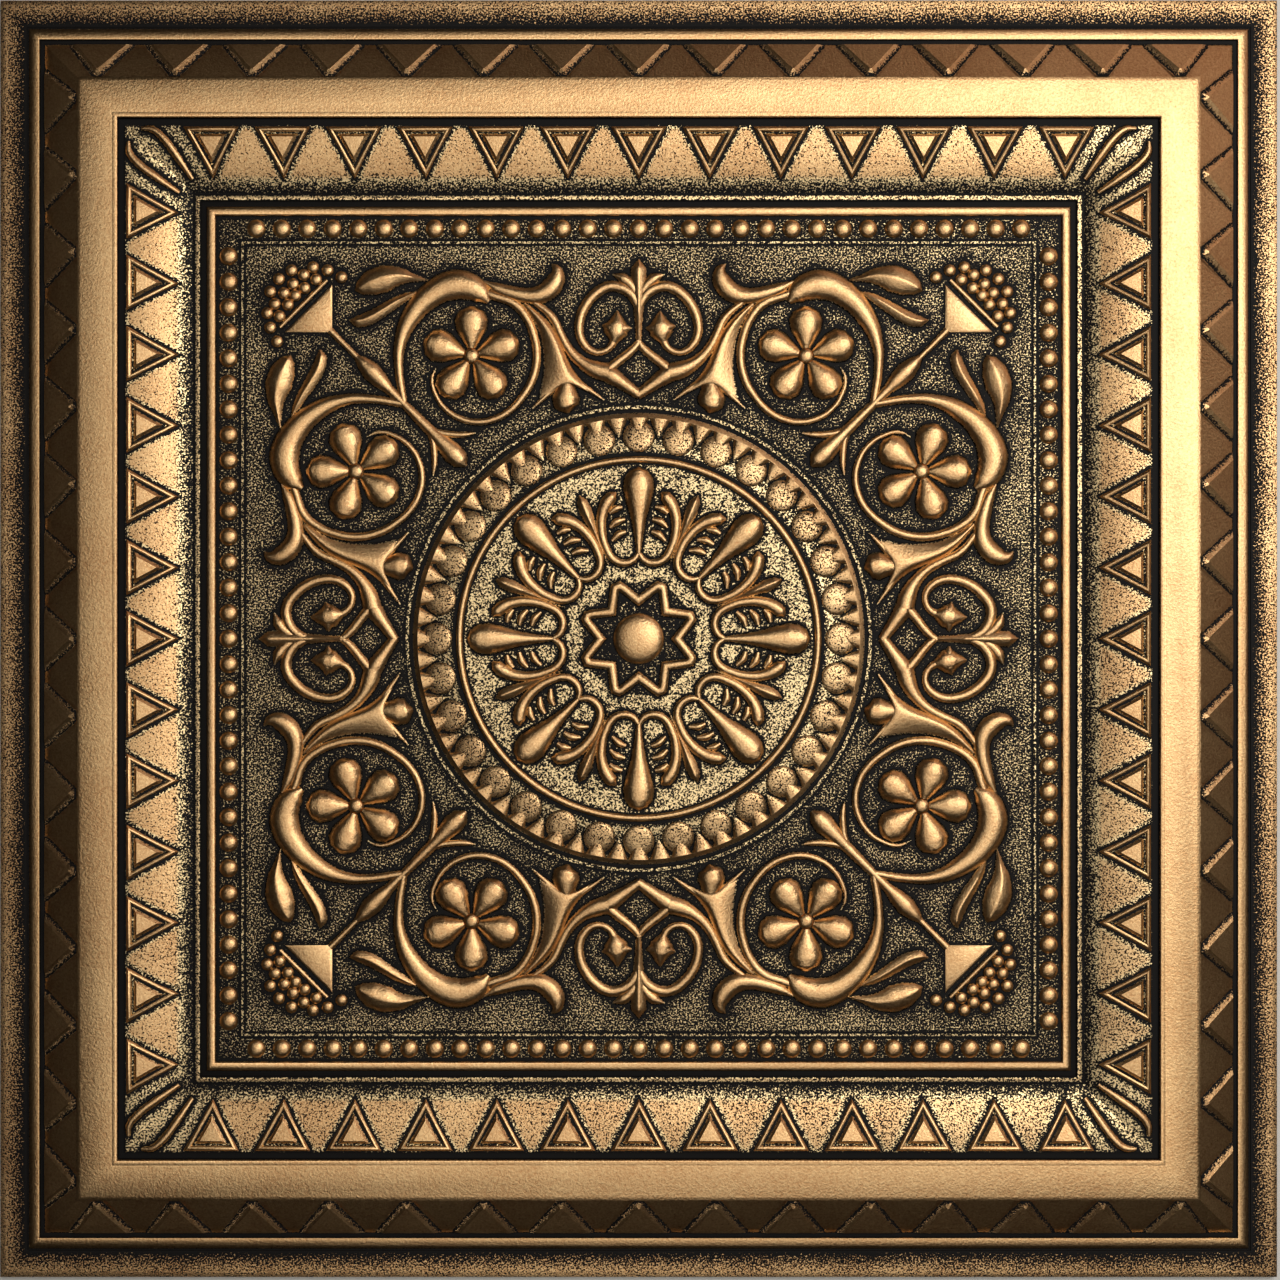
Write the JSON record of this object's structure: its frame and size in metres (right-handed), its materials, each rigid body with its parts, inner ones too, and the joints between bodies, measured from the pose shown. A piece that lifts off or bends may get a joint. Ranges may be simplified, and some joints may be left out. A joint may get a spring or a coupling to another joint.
{
  "type": "foam ceiling tile",
  "caption": "Square pressed foam ceiling tile with a raised mitred frame, pearl border, scrollwork field and round medallion, antique gold over black, glued to a ceiling by its flat back.",
  "frame": {"origin": "centre of the square glue face on the tile's back", "axes": "+Z out of the decorated face, away from the glue face; +X and +Y along the tile's sides"},
  "size_m": [0.5, 0.5, 0.012],
  "materials": {
    "painted_foam": "pressed polystyrene foam with antique gold metallic paint rubbed over a black ground"
  },
  "bodies": {
    "root": {"ceiling_tile": "painted_foam"}
  },
  "joints": []
}
